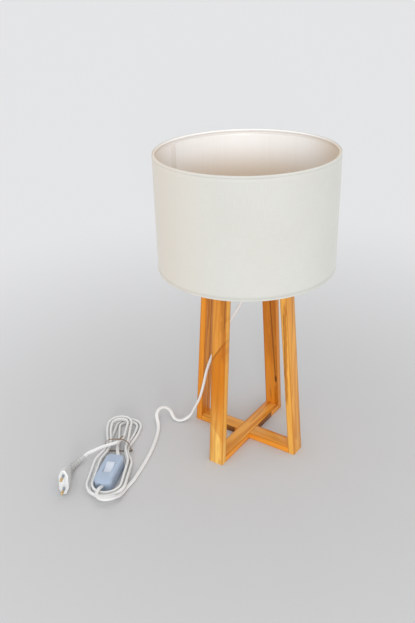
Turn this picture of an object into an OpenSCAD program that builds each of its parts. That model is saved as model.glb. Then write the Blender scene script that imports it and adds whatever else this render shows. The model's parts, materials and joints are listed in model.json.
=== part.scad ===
// Table lamp: a fabric drum shade over two crossed wooden frames, with a lamp holder and
// bulb, a flat twin cord tied up in a hank, an in-line rocker switch and a two-pin plug.
// Millimetres. The origin is on the floor under the middle of the lamp and +Z is up.
// One frame stands in the XZ plane (left and right legs), the other in the YZ plane
// (front and back legs, front is -Y).

/* [Wooden frames] */
// Height of the frames
frame_h = 295; // [265:1:340]
// Length of a frame over its feet
foot_span = 182; // [165:1:205]
// Length of a frame over its top
top_span = 136; // [120:1:155]
// Width of the boards
board_w = 23; // [20:1:27]
// Thickness of the boards
board_t = 10; // [8:0.5:12]
// Play between the two halves of a halved crossing
lap_gap = 0.1; // [0.05:0.05:0.3]
// Diameter of the headless brads in the corners
brad_d = 1.4; // [1:0.1:1.6]
// Length of the brads
brad_len = 16; // [13:1:20]

/* [Shade] */
// Diameter over the trimmed rims
shade_d = 250; // [225:1:300]
// Height of the shade
shade_h = 162; // [140:1:200]
// Height that the frames reach up into the shade
shade_lap = 1; // [0:0.5:4]
// Thickness of the cover fabric
fabric_t = 0.6; // [0.4:0.1:1]
// Thickness of the lining
lining_t = 0.5; // [0.3:0.1:0.8]
// Thickness of the rim trim
trim_t = 0.4; // [0.3:0.1:0.6]
// Height of the rim trim on the outside
trim_h = 4; // [3:0.5:9]
// Diameter of the rim wires
wire_d = 2.2; // [2.2:0.2:4]
// Diameter of the fitter's arms, thinner than the rim wires
arm_d = 2; // [1.6:0.1:2]
// Width of the lining's overlap
seam_w = 11; // [8:1:16]
// Bearing of the lining's overlap, from +X towards +Y
seam_turn = 176; // [0:1:359]
// Width of the fitter ring, from hole to edge
fitter_w = 6.5; // [5:0.5:9]
// Thickness of the fitter ring
fitter_t = 1.2; // [1:0.1:2]

/* [Lamp holder] */
// Outer diameter of the threaded rod
rod_d = 10; // [8:1:10]
// Bore of the threaded rod
rod_bore = 7; // [6.4:0.1:7.4]
// Width of the nut across its flats
nut_af = 14; // [13:1:17]
// Thickness of the nut
nut_t = 3; // [2.5:0.5:5]
// Diameter of the washers
washer_d = 24; // [20:1:28]
// Thickness of the washers
washer_t = 1.2; // [1:0.1:2]
// Outer diameter of the holder's cap
cap_d = 29; // [28:0.5:34]
// Height of the holder's cap
cap_h = 18; // [17:0.5:24]
// Wall of the holder's plastic shells
holder_wall = 1.8; // [1.4:0.1:2.2]
// Diameter over the thread of the holder's shell
skirt_d = 27; // [26.5:0.1:28]
// Height of the shell above its shoulder
skirt_h = 22; // [20:0.5:26]
// Diameter of the shell's shoulder
shoulder_d = 33; // [32:0.5:38]
// Thickness of the shell's shoulder
shoulder_t = 2.5; // [2:0.5:3.5]
// Height of the shade's retaining ring
ring_h = 7; // [5:0.5:9]
// Diameter of the shade's retaining ring
ring_d = 37; // [35:0.5:42]
// Number of grip grooves round the retaining ring
ring_grooves = 18; // [12:1:24]

/* [Bulb] */
// Diameter of the glass ball
bulb_d = 45; // [40:1:50]
// Length of the bulb over everything
bulb_len = 76; // [70:1:85]
// Diameter of the screw cap
screw_d = 13.9; // [13.8:0.05:13.95]
// Length of the screw cap
screw_len = 18; // [16:0.5:20]
// Wall of the glass
glass_t = 0.8; // [0.6:0.1:1.2]

/* [Cord] */
// Width of the flat cord
cord_w = 5.6; // [5.2:0.1:5.8]
// Thickness of the flat cord
cord_t = 3.6; // [3.4:0.1:3.7]
// Diameter of the cord grip
grip_d = 14; // [13:0.5:16]
// Length of the cord grip
grip_h = 13; // [11:0.5:16]

/* [In-line switch] */
// Length of the switch
switch_l = 62; // [60:0.5:63]
// Width of the switch
switch_w = 27; // [26:0.5:28]
// Height of the switch
switch_h = 20; // [19.5:0.5:21]
// Wall of the switch's shells
switch_wall = 1.8; // [1.4:0.1:2]
// Length of the rocker
rocker_l = 21; // [19:0.2:22]
// Width of the rocker
rocker_w = 12; // [11:0.2:13]
// Tilt of the rocker to each side of level
rocker_tilt = 9; // [6:1:10]

/* [Plug] */
// Width of the plug's face
face_w = 35.3; // [34:0.1:36]
// Thickness of the plug's face
face_t = 13.7; // [13:0.1:14.5]
// Length of the plug's body
plug_l = 36; // [33:0.5:38]
// Distance between the pins
pin_gap = 19; // [18.6:0.1:19.2]
// Diameter of the pins
pin_d = 4; // [3.9:0.02:4.06]
// Length of the pins
pin_l = 19; // [18.5:0.1:19.5]
// Length of the insulating sleeves on the pins
sleeve_l = 10; // [9:0.5:11]
// Tilt of the pins, also the taper of the edge that the plug rests on
plug_tilt = 18; // [14:1:20]

/* [Hidden] */
$fn = 96;
run_gap = 0.05; // radial play of a part that turns
slip_gap = 0.1; // radial play of parts that slide together
free_gap = 0.3; // space round a part that passes through
up = [0, 0, 1];

// Frames
lean = (foot_span - top_span) / 2 / frame_h;
leg_t = board_t * sqrt(1 + lean * lean);
brad_set_in = 3;

// Holder, from the frames upwards
cap_z = frame_h + washer_t;
cap_floor = 3;
cap_in = cap_d / 2 - holder_wall;
rod_low = frame_h - board_t - washer_t - nut_t - 6;
rod_top = cap_z + cap_floor + 1;
insert_t = 5;
spigot_h = 3;
insert_z = cap_z + cap_h - spigot_h - insert_t;
sleeve_z = insert_z + insert_t;
shoulder_z = cap_z + cap_h;
seat_z = shoulder_z + shoulder_t;
skirt_in = skirt_d / 2 - 2.5;
lip_t = 2;
screw_sleeve_t = 0.6;
screw_sleeve_h = 21;
tongue_t = 0.5;
tongue_h = 3;
terminal_y = 6.5;
terminal_head = 1.8;
core_d = 1.4;
core_y = cord_w / 4;

// Bulb, from its tip upwards
tip_z = sleeve_z + tongue_h + slip_gap;
tip_t = 1.5;
insulator_t = 2.5;
screw_z = tip_z + tip_t + insulator_t;
ball_z = tip_z + bulb_len - bulb_d / 2;
neck_turn = 50;

// Shade
shade_z = frame_h - shade_lap;
cover_r = shade_d / 2 - trim_t;
lining_r = cover_r - fabric_t;
lining_in = lining_r - lining_t;
rim_r = lining_in - wire_d / 2;
rim_up = trim_t + wire_d / 2;
fitter_in = skirt_d / 2 + free_gap;
fitter_r = fitter_in + fitter_w;
arm_turns = [30, 150, 270];

// Cord grip under the rod
grip_top = rod_low + 5.8;
grip_low = grip_top - grip_h;
grip_throat = rod_low - 0.2;
slot_w = cord_w + 2 * slip_gap;
slot_t = cord_t + 2 * slip_gap;
grip_screw_d = 3;

// Hank: its frame on the floor, its runs, its lobes and its drawn-in waist. The lower and the
// upper back lobes are spread to the two sides.
hank_at = [-144, -150];
hank_turn = -60;
run_back = 60;
back_share = 0.75;
run_front = 84;
lobe_r = 18;
lobe_step = 8;
waist = 0.4;
waist_front = 36;
spread = 6;
turns = 3.25;
turn_back = 1.25;
layer_z = [2.9, 9.4];
waist_lift = 1.1;
rings_a_turn = 24;
tie_w = 3;
tie_t = 0.8;

// Switch, lying in the hank's front lobe
switch_at = [-113, -203];
switch_turn = -69;
switch_end = switch_l / 2 - switch_wall;
clamp = [5, 10, 11];
pivot_d = 2;
pivot_z = switch_h - 2.5;
lug_t = 1.8;
rocker_hole = [rocker_l + 1.4, rocker_w + 0.6];
switch_corner = 7;
switch_step = 1.2;
post_at = [19, 8.5];

// Plug: it rests on its tapered edge with its pins up. Its nose, the middle of its face, the
// way its pins point, and its bent strain relief.
nose = 12;
plug_at = [-145, -264, nose * sin(plug_tilt) + face_w / 2 * cos(plug_tilt)];
plug_turn = -54;
plug_rear = face_w / 2 - (plug_l - nose) * tan(plug_tilt);
root_d = 2.8;
root_l = 8;
relief_bend = 40;
relief_turn = 64;
relief_roll = 31;
relief_ribs = 8;
relief_core = 3.2;
relief_r = [5.4, 4];

// Places on the hank's own axes, u along it, v across it, with a height and a roll
function on_hank(u, v, z, roll) = [
    hank_at.x + u * cos(hank_turn) - v * sin(hank_turn),
    hank_at.y + u * sin(hank_turn) + v * cos(hank_turn), z, roll];

// Places on the switch's own axis, from its middle towards its front end
function on_switch(u, z) = [switch_at.x + u * cos(switch_turn), switch_at.y + u * sin(switch_turn),
    z, 0];

// Places on the plug's own axes, x along its pins, y across its face, z up its face
function on_plug(x, y, z) = let (out = x * cos(plug_tilt) - z * sin(plug_tilt)) [
    plug_at.x + out * cos(plug_turn) - y * sin(plug_turn),
    plug_at.y + out * sin(plug_turn) + y * cos(plug_turn),
    plug_at.z + x * sin(plug_tilt) + z * cos(plug_tilt), 90];
function on_relief(turn, out) = let (side = relief_bend * (1 - cos(turn)) + out * sin(turn))
    on_plug(-plug_l - relief_bend * sin(turn) - out * cos(turn),
        side * cos(relief_roll), side * sin(relief_roll));

// The hanging part of the cord: x, y and the share of the grip's height
hang_route = [
    [0, 0, 1], [0, 0, 0.98], [0, 0, 0.96], [-3, -1.5, 0.91], [-10, -4, 0.845],
    [-22, -8, 0.755], [-38, -12, 0.64], [-52, -15, 0.515], [-63, -17, 0.395],
    [-70, -18, 0.285], [-78, -19, 0.18], [-88, -20, 0.1]];

// It lands behind the left leg, bends over a hump, follows the side of the hank and turns
// back over its loops into the switch
floor_route = [
    [-96, -23, 10.5, 0], [-106, -33, 3, 0], [-118, -36, 4, 0], [-130, -32, 13.5, 0],
    [-138, -35.5, 18.5, 0], [-142.5, -44, 18.5, 0], [-141, -54, 13.5, 0], [-131, -63.5, 5, 0],
    [-121.5, -76.5, 2, 0], [-111, -96, 1.9, 0], [-101, -118, 1.9, 0], [-92, -143, 1.9, 0],
    [-84.5, -168, 2, 0], [-78.5, -190, 2.5, 0], [-75.5, -210, 3.2, 0], [-72, -224, 5, 0],
    [-69.5, -233, 8.5, 0], [-69.5, -243.5, 13, 0], [-73, -251.5, 14.5, 0],
    [-79.5, -256, 14.8, 0], [-87.5, -256, 14.8, 0], [-94, -251.5, 14.8, 0],
    [-98.5, -242, 14.2, 0], on_switch(switch_end + 4, switch_h / 2 + 0.9),
    on_switch(switch_end, switch_h / 2)];
drop_route = concat([for (q = hang_route) [q.x, q.y, q.z * grip_low, 0]], floor_route);

// Route from the switch into the waist of the hank and out to its first lobe
lead_route = [
    on_switch(-switch_end, switch_h / 2), on_switch(-switch_end - 4, switch_h / 2),
    on_switch(-switch_end - 8, switch_h / 2), on_hank(8, 2, 8.8, 25), on_hank(-6, 0, 6.8, 50),
    on_hank(-22, hank_spread(0, -22) - 3, 4.6, 80), on_hank(-40, hank_spread(0, -40) - 9, 3.2, 90),
    on_hank(-run_back, hank_spread(0, -run_back) - back_share * lobe_r, layer_z[0], 90)];

// Route from the hank's end, over its waist, to the plug's strain relief
tail_start = [[-run_back, back_share * hank_half(turns), layer_z[1]], [-45, 11.5, 10.2],
    [-28, 10, 13], [-12, 7, 16.8]];
tail_route = [
    for (q = tail_start) on_hank(q.x, q.y + hank_spread(turns, q.x), q.z, 90),
    on_hank(0, 1, 18.6, 90), on_hank(7, -9, 18.8, 90), on_hank(12, -21, 17.6, 90),
    on_hank(18, -33, 14.8, 90),
    on_relief(relief_turn, 8), on_relief(relief_turn, 4), on_relief(relief_turn, 0)];

// Spline through route points, each stretch cut into n parts
function curve(a, b, c, d, t) = 0.5 * (2 * b + (c - a) * t + (2 * a - 5 * b + 4 * c - d) * t * t
    + (3 * b - a - 3 * c + d) * t * t * t);
function before(p, i) = i == 0 ? 2 * p[0] - p[1] : p[i - 1];
function after(p, i) = i + 2 < len(p) ? p[i + 2] : 2 * p[i + 1] - p[i];
function smooth(p, n) = [
    for (i = [0:len(p) - 2], k = [0:n - 1]) curve(before(p, i), p[i], p[i + 1], after(p, i), k / n),
    p[len(p) - 1]];

// One point of the hank at t turns: lobe, run, lobe, run, drawn in at the waist
function hank_half(t) = lobe_r + lobe_step * (min(t, turn_back) - max(0, t - turn_back - 0.5));
function hank_layer(t) = layer_z[0]
    + (layer_z[1] - layer_z[0]) * min(1, max(0, (t - turn_back - 0.12) / 0.13));
function hank_waist(u) = let (reach = u < 0 ? run_back : waist_front)
    (1 - (abs(u) < reach ? waist * pow(cos(90 * u / reach), 2) : 0))
    * (u < 0 ? 1 - (1 - back_share) * pow(sin(90 * u / run_back), 2) : 1);
function hank_spread(t, u) = spread * (1 - 2 * min(1, max(0, (t - turn_back - 0.1) / 0.5)))
    * pow(sin(90 * min(1, max(0, -u / run_back))), 2);
function hank_flat(t) = let (b = hank_half(t), q = floor(4 * (t % 1)), r = 4 * (t % 1) - q,
        u_out = -run_back + (run_back + run_front) * r, u_in = run_front - (run_back + run_front) * r)
    q == 0 ? [-run_back - back_share * b * sin(180 * r), -back_share * b * cos(180 * r)]
    : q == 1 ? [u_out, b * hank_waist(u_out)]
    : q == 2 ? [run_front + b * sin(180 * r), b * cos(180 * r)]
    : [u_in, -b * hank_waist(u_in)];
function hank_point(t) = let (f = hank_flat(t))
    on_hank(f[0], f[1] + hank_spread(t, f[0]), hank_layer(t) + waist_lift * exp(-f[0] * f[0] / 144), 90);
function hank_loops(n) = [for (i = [0:turns * n]) hank_point(i / n)];

// Least gap between two strands of the hank, with the cord's height scaled to its thickness
function apart(a, b) = norm([a.x - b.x, a.y - b.y, (a.z - b.z) * cord_t / cord_w]) - cord_t;
function least_gap(p, skip) = min([for (i = [0:len(p) - 1]) for (j = [i + skip:1:len(p) - 1])
    apart(p[i], p[j])]);
echo(least_hank_gap = least_gap(hank_loops(2 * rings_a_turn), 8));

// Flat section and the tube swept along a route; side lies level, and roll turns it on edge
function section(k, n) = let (a = 360 * (k + (n == 8 ? 0.5 : 0)) / n)
    [(cord_w - cord_t) / 2 * sign(cos(a)) + cord_t / 2 * cos(a), cord_t / 2 * sin(a)];
function unit(v) = v / norm(v);
function at(q) = [q.x, q.y, q.z];
function heading(p, i) = unit(at(p[min(i + 1, len(p) - 1)]) - at(p[max(i - 1, 0)]));
function ring_points(p, i, n) = let (
        t = heading(p, i), side = unit(cross(up, t) + 0.05 * [0, -1, 0]),
        level = unit(side - (side * t) * t), lift = cross(t, level),
        wide = cos(p[i][3]) * level + sin(p[i][3]) * lift, thin = cross(t, wide))
    [for (k = [0:n - 1]) let (s = section(k, n)) at(p[i]) + s[0] * wide + s[1] * thin];
module tube(p, n) {
    last = (len(p) - 1) * n;
    points = [for (i = [0:len(p) - 1]) each ring_points(p, i, n)];
    walls = [for (i = [0:len(p) - 2], k = [0:n - 1]) let (a = i * n + k, b = i * n + (k + 1) % n)
        each [[a, b, b + n], [a, b + n, a + n]]];
    ends = [for (k = [1:n - 2]) each [[0, k + 1, k], [last, last + k, last + k + 1]]];
    polyhedron(points, concat(walls, ends));
}

// Wooden frames
function edge_x(z) = foot_span / 2 - lean * z;

module board(turn, outline) {
    rotate([0, 0, turn]) rotate([90, 0, 0]) translate([0, 0, -board_w / 2])
        linear_extrude(board_w) polygon(outline);
}

module brad_set(play) {
    for (turn = [0, 90, 180, 270], side = [-1, 1], z = [board_t / 2, frame_h - board_t / 2])
        rotate([0, 0, turn]) translate([edge_x(z), side * board_w / 4, z])
            rotate([0, -90 - atan(lean), 0]) translate([0, 0, brad_set_in - play])
                cylinder(d = brad_d + 2 * play, h = brad_len + 2 * play);
}

module leg(turn) {
    color("goldenrod") difference() {
        board(turn, [[edge_x(0), 0], [edge_x(frame_h), frame_h],
            [edge_x(frame_h) - leg_t, frame_h], [edge_x(0) - leg_t, 0]]);
        brad_set(slip_gap / 2);
    }
}

module bar(turn, low, keep_low) {
    high = low + board_t;
    notch = board_w + 2 * lap_gap;
    color("goldenrod") difference() {
        board(turn, [[leg_t - edge_x(low), low], [edge_x(low) - leg_t, low],
            [edge_x(high) - leg_t, high], [leg_t - edge_x(high), high]]);
        translate([-notch / 2, -notch / 2, keep_low ? low + board_t / 2 : low - board_t / 2])
            cube([notch, notch, board_t]);
        brad_set(slip_gap / 2);
        if (low > 0) translate([0, 0, low - 1]) cylinder(d = rod_d + free_gap, h = board_t + 2);
    }
}

module corner_brads() {
    color("silver") brad_set(0);
}

// Rod, washers, nut and cord grip
module pipe(low, h, outer, inner) {
    translate([0, 0, low]) difference() {
        cylinder(d = outer, h = h);
        translate([0, 0, -1]) cylinder(d = inner, h = h + 2);
    }
}

module threaded_rod() {
    color("silver") pipe(rod_low, rod_top - rod_low, rod_d, rod_bore);
}

module lower_washer() {
    color("silver") pipe(frame_h - board_t - washer_t, washer_t, washer_d, rod_d + free_gap);
}

module upper_washer() {
    color("silver") pipe(frame_h, washer_t, washer_d, rod_d + free_gap);
}

module lower_nut() {
    low = frame_h - board_t - washer_t - nut_t;
    color("silver") translate([0, 0, low]) difference() {
        cylinder(d = nut_af / cos(30), h = nut_t, $fn = 6);
        translate([0, 0, -1]) cylinder(d = rod_d + slip_gap, h = nut_t + 2);
    }
}

module cord_grip() {
    color("whitesmoke") difference() {
        translate([0, 0, grip_low]) cylinder(d = grip_d, h = grip_h);
        translate([0, 0, grip_throat]) cylinder(d = rod_d + slip_gap, h = grip_h);
        translate([-slot_t / 2, -slot_w / 2, grip_low - 1]) cube([slot_t, slot_w, grip_h]);
        grip_screw_at(slip_gap / 2);
    }
}

module grip_screw_at(play) {
    translate([slot_t / 2 - play, 0, (grip_low + grip_throat) / 2]) rotate([0, 90, 0])
        cylinder(d = grip_screw_d + 2 * play, h = grip_d / 2 - slot_t / 2 + 0.5 + play);
}

module grip_screw() {
    color("whitesmoke") grip_screw_at(0);
}

module cord_in_rod() {
    color("white") translate([0, 0, grip_low]) linear_extrude(rod_top - grip_low)
        rotate(90) flat_outline();
}

module flat_outline() {
    square([cord_w - cord_t, cord_t], center = true);
    for (side = [-1, 1]) translate([side * (cord_w - cord_t) / 2, 0]) circle(d = cord_t);
}

// Lamp holder
module turned(points) {
    rotate_extrude() polygon(points);
}

module holder_cap() {
    top = cap_z + cap_h;
    color("whitesmoke") turned([
        [rod_d / 2 + slip_gap / 2, cap_z], [cap_d / 2 - 2, cap_z], [cap_d / 2, cap_z + 2],
        [cap_d / 2, top], [cap_in, top], [cap_in, insert_z], [cap_in - 1.2, insert_z],
        [cap_in - 1.2, cap_z + cap_floor], [rod_d / 2 + slip_gap / 2, cap_z + cap_floor]]);
}

module terminal_at(y, d, low, h) {
    translate([0, y, low]) cylinder(d = d, h = h);
}

module holder_insert() {
    color("white") difference() {
        translate([0, 0, insert_z]) cylinder(r = cap_in - slip_gap, h = insert_t);
        for (side = [-1, 1]) terminal_at(side * terminal_y, 3 + slip_gap, insert_z - 1, insert_t + 2);
    }
}

module terminal_screws() {
    color("gold") for (side = [-1, 1]) {
        terminal_at(side * terminal_y, 4.8, insert_z - terminal_head, terminal_head);
        terminal_at(side * terminal_y, 3, insert_z - 0.01, insert_t);
    }
}

module core_wires() {
    rise = insert_z - terminal_head - rod_top;
    apart = terminal_y - core_y;
    color("sienna") intersection() {
        translate([-cap_in, -cap_in, rod_top]) cube([2 * cap_in, 2 * cap_in, rise]);
        for (side = [-1, 1]) translate([0, side * core_y, rod_top])
            rotate([-side * atan(apart / rise), 0, 0]) translate([0, 0, -core_d])
                cylinder(d = core_d, h = norm([apart, rise]) + 2 * core_d);
    }
}

module holder_shell() {
    top = seat_z + skirt_h;
    color("whitesmoke") turned([
        [skirt_in, sleeve_z], [cap_in - slip_gap, sleeve_z], [cap_in - slip_gap, shoulder_z],
        [shoulder_d / 2, shoulder_z], [shoulder_d / 2, seat_z], [skirt_d / 2, seat_z],
        [skirt_d / 2, top - 1], [skirt_d / 2 - 1, top], [screw_d / 2 + 2, top],
        [screw_d / 2 + 2, top - lip_t], [skirt_in, top - lip_t]]);
}

module screw_sleeve() {
    inner = screw_d + 2 * slip_gap;
    color("gold") pipe(sleeve_z, screw_sleeve_h, inner + 2 * screw_sleeve_t, inner);
}

module centre_contact() {
    half = screw_d / 2 - 1;
    color("gold") translate([0, 2, sleeve_z]) rotate([90, 0, 0]) linear_extrude(4) polygon([
        [-half, 0], [-half + 3, 0], [2, tongue_h - tongue_t], [2.5, tongue_h - tongue_t],
        [2.5, tongue_h], [-2, tongue_h], [-half + 2.4, tongue_t], [-half, tongue_t]]);
}

module shade_ring() {
    low = seat_z + fitter_t;
    color("whitesmoke") difference() {
        pipe(low, ring_h, ring_d, skirt_d + 2 * run_gap);
        for (i = [1:ring_grooves]) rotate([0, 0, i * 360 / ring_grooves])
            translate([ring_d / 2 + 0.6, 0, low - 1]) cylinder(d = 3, h = ring_h + 2);
    }
}

// Bulb
module bulb_outline(inset) {
    neck = [(bulb_d / 2 - inset) * sin(neck_turn), ball_z - (bulb_d / 2 - inset) * cos(neck_turn)];
    low = screw_z + screw_len;
    difference() {
        union() {
            translate([0, ball_z]) circle(r = bulb_d / 2 - inset);
            polygon([[0, low], [screw_d / 2 - inset, low], neck, [0, neck[1]]]);
        }
        translate([-bulb_d, low - 1]) square([bulb_d, bulb_len]);
    }
}

module bulb_glass() {
    color("white", 0.8) rotate_extrude() difference() {
        bulb_outline(0);
        bulb_outline(glass_t);
    }
}

module bulb_cap() {
    color("silver") turned([[screw_d / 2 - 1.6, screw_z], [screw_d / 2 - 1, screw_z],
        [screw_d / 2, screw_z + 1], [screw_d / 2, screw_z + screw_len],
        [screw_d / 2 - 0.5, screw_z + screw_len], [screw_d / 2 - 0.5, screw_z + 1.2],
        [screw_d / 2 - 1.6, screw_z + 0.5]]);
}

module bulb_insulator() {
    color("black") turned([[0, tip_z + tip_t], [2.4, tip_z + tip_t],
        [screw_d / 2 - 1.6, screw_z - 0.4], [screw_d / 2 - 1.6, screw_z + 0.5], [0, screw_z + 0.5]]);
}

module bulb_tip() {
    color("silver") turned([[0, tip_z], [1.2, tip_z], [2, tip_z + 0.5], [2.2, tip_z + tip_t],
        [0, tip_z + tip_t]]);
}

// Shade
module arms(play) {
    from = [fitter_r - 1, seat_z + fitter_t / 2];
    to = [rim_r, shade_z + rim_up];
    long = norm(to - from);
    for (turn = arm_turns) rotate([0, 0, turn]) translate([from[0], 0, from[1]])
        rotate([0, 90 + asin((from[1] - to[1]) / long), 0]) cylinder(d = arm_d + 2 * play, h = long);
}

module rim_wire(z) {
    rotate_extrude() translate([rim_r, z]) circle(d = wire_d);
}

module fitter_frame() {
    color("white") {
        pipe(seat_z, fitter_t, 2 * fitter_r, 2 * fitter_in);
        arms(0);
        rim_wire(shade_z + rim_up);
    }
}

module top_wire() {
    color("white") rim_wire(shade_z + shade_h - rim_up);
}

module shade_cover() {
    color("linen") pipe(shade_z + trim_t, shade_h - 2 * trim_t, 2 * cover_r, 2 * lining_r);
}

module shade_lining() {
    low = shade_z + rim_up + wire_d;
    color("antiquewhite") {
        pipe(shade_z + trim_t, shade_h - 2 * trim_t, 2 * lining_r, 2 * lining_in);
        rotate([0, 0, seam_turn]) rotate_extrude(angle = seam_w / lining_in * 180 / PI)
            translate([lining_in - lining_t, low])
                square([1.5 * lining_t, shade_h - 2 * (rim_up + wire_d)]);
    }
}

module trim_outline() {
    lip = rim_r - wire_d / 2;
    polygon([[lip - trim_t, 0], [shade_d / 2, 0], [shade_d / 2, trim_h], [cover_r, trim_h],
        [cover_r, trim_t], [lip, trim_t], [lip, rim_up], [lip - trim_t, rim_up]]);
}

module bottom_trim() {
    color("linen") difference() {
        translate([0, 0, shade_z]) rotate_extrude() trim_outline();
        arms(slip_gap);
    }
}

module top_trim() {
    color("linen") translate([0, 0, shade_z + shade_h]) mirror([0, 0, 1])
        rotate_extrude() trim_outline();
}

// Cord
module cord_drop() {
    color("white") tube(smooth(drop_route, 2), 8);
}

module cord_hank() {
    lead = smooth(lead_route, 3);
    loops = hank_loops(rings_a_turn);
    color("white") tube(concat([for (i = [0:len(lead) - 2]) lead[i]], loops), 6);
}

module cord_tail() {
    color("white") tube(smooth(tail_route, 2), 8);
}

module place_hank(u) {
    middle = on_hank(u, 0, 0, 0);
    translate([middle.x, middle.y, 0]) rotate([0, 0, hank_turn]) children();
}

module tie_outline(grow) {
    right = [[20 + grow, 1 - grow], [20 + grow, 9 + grow / 2], [17.5 + grow, 16 + grow / 2],
        [10, 22 + grow]];
    polygon(concat(right, [for (i = [3:-1:0]) [-right[i].x, right[i].y]]));
}

module cord_tie() {
    color("tan") place_hank(-3) rotate([90, 0, 90]) linear_extrude(tie_w) difference() {
        tie_outline(tie_t);
        tie_outline(0);
    }
}

// In-line switch, drawn with its middle at the origin
module place_switch() {
    translate([switch_at.x, switch_at.y, 0]) rotate([0, 0, switch_turn]) children();
}

module rounded(l, w, r) {
    square([l - 2 * r, w], center = true);
    square([l, w - 2 * r], center = true);
    for (x = [-1, 1], y = [-1, 1]) translate([x * (l / 2 - r), y * (w / 2 - r)]) circle(r = r);
}

module switch_hollow(low, h) {
    translate([0, 0, low]) linear_extrude(h)
        rounded(switch_l - 2 * switch_wall, switch_w - 2 * switch_wall, switch_corner - switch_wall);
}

module cord_slots() {
    translate([-switch_l, -slot_w / 2, switch_h / 2 - slot_t / 2])
        cube([2 * switch_l, slot_w, slot_t]);
}

module posts(d, low, h) {
    for (side = [-1, 1]) translate([side * post_at[0], -side * post_at[1], low]) cylinder(d = d, h = h);
}

module switch_base() {
    color("lightsteelblue") place_switch() difference() {
        union() {
            difference() {
                linear_extrude(switch_h / 2) rounded(switch_l, switch_w, switch_corner);
                switch_hollow(switch_wall, switch_h);
            }
            posts(5.6, 0, switch_h / 2);
        }
        cord_slots();
        posts(2.6, -1, switch_h);
        posts(4.6, -1, 3);
    }
}

module switch_cover() {
    top = switch_h - switch_wall;
    color("lightsteelblue") place_switch() difference() {
        union() {
            difference() {
                union() {
                    translate([0, 0, switch_h / 2]) linear_extrude(switch_h / 2 - switch_step)
                        rounded(switch_l, switch_w, switch_corner);
                    linear_extrude(switch_h) rounded(switch_l - 2 * switch_step,
                        switch_w - 2 * switch_step, switch_corner - switch_step);
                }
                switch_hollow(-1, top + 1);
                translate([0, 0, -1]) linear_extrude(switch_h / 2 + 1)
                    rounded(switch_l, switch_w, switch_corner);
                translate([0, 0, switch_h / 2]) linear_extrude(switch_h)
                    square(rocker_hole, center = true);
            }
            posts(5.6, switch_h / 2, top - switch_h / 2);
            for (side = [-1, 1]) translate([-2.5, side > 0 ? rocker_hole[1] / 2
                : -rocker_hole[1] / 2 - lug_t, pivot_z - 3]) cube([5, lug_t, top - pivot_z + 3]);
        }
        cord_slots();
        posts(2.4, switch_h / 2 - 1, 7);
        pivot_at(0.01);
    }
}

module pivot_at(play) {
    long = rocker_hole[1] + 2 * lug_t;
    translate([0, long / 2, pivot_z]) rotate([90, 0, 0]) cylinder(d = pivot_d + 2 * play, h = long);
}

module switch_pivot() {
    color("silver") place_switch() pivot_at(0);
}

module switch_rocker() {
    half = rocker_l / 2;
    color("aliceblue") place_switch() translate([0, 0, pivot_z]) rotate([0, rocker_tilt, 0])
        rotate([90, 0, 0]) translate([0, 0, -rocker_w / 2]) linear_extrude(rocker_w) difference() {
            polygon([[-half, 3], [-half / 2, 2.3], [0, 2], [half / 2, 2.3], [half, 3],
                [half - 0.5, -1], [3, -2.6], [-3, -2.6], [-half + 0.5, -1]]);
            circle(d = pivot_d + 2 * run_gap);
        }
}

module switch_contacts() {
    color("gold") place_switch() for (side = [-1, 1]) translate([side * 7 - 4, -2, switch_wall]) {
        cube([8, 4, 0.8]);
        translate([3.6, 0, 0]) cube([0.8, 4, switch_h / 2]);
    }
}

module cord_clamps() {
    color("gray") place_switch() for (side = [-1, 1])
        translate([side * (switch_end - clamp.x / 2), 0, switch_wall + clamp.z / 2])
            cube(clamp, center = true);
}

module switch_screws() {
    color("silver") place_switch() {
        posts(4.4, 0.4, 1.6);
        posts(2.2, 1.9, switch_h / 2 + 3);
    }
}

// Plug, drawn with the middle of its face at the origin and its pins along +X
module place_plug() {
    translate(plug_at) rotate([0, -plug_tilt, plug_turn]) children();
}

module plug_pin(d, low, high) {
    for (side = [-1, 1]) translate([low, 0, side * pin_gap / 2]) rotate([0, 90, 0])
        cylinder(d = d, h = high - low);
}

module plug_body() {
    flat = 2.6;
    slope = 9.5;
    color("white") place_plug() difference() {
        intersection() {
            rotate([90, 0, -90]) linear_extrude(plug_l) polygon([
                [face_t / 2, -slope], [face_t / 2, slope], [flat, face_w / 2], [-flat, face_w / 2],
                [-face_t / 2, slope], [-face_t / 2, -slope], [-flat, -face_w / 2], [flat, -face_w / 2]]);
            rotate([90, 0, 0]) translate([0, 0, -face_t]) linear_extrude(2 * face_t) polygon([
                [0, -face_w / 2], [0, face_w / 2], [-nose, face_w / 2], [-plug_l, plug_rear],
                [-plug_l, -plug_rear], [-nose, -face_w / 2]]);
            translate([0, 0, -face_w]) linear_extrude(2 * face_w) polygon([
                [0, -face_t / 2], [0, face_t / 2], [-nose, face_t / 2], [-plug_l, 5.6],
                [-plug_l, -5.6], [-nose, -face_t / 2]]);
        }
        plug_pin(root_d, -root_l, 1);
    }
}

module plug_pins() {
    color("gold") place_plug() {
        plug_pin(root_d, -root_l, sleeve_l);
        plug_pin(pin_d, sleeve_l, pin_l - pin_d / 2);
        for (side = [-1, 1]) translate([pin_l - pin_d / 2, 0, side * pin_gap / 2]) sphere(d = pin_d);
    }
}

module pin_sleeves() {
    color("gray") place_plug() difference() {
        plug_pin(pin_d, 0, sleeve_l);
        plug_pin(root_d, -1, sleeve_l + 1);
    }
}

module bent_rod(r, from, turn) {
    rotate([0, 0, from]) rotate_extrude(angle = turn) translate([relief_bend, 0]) circle(r = r);
}

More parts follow.
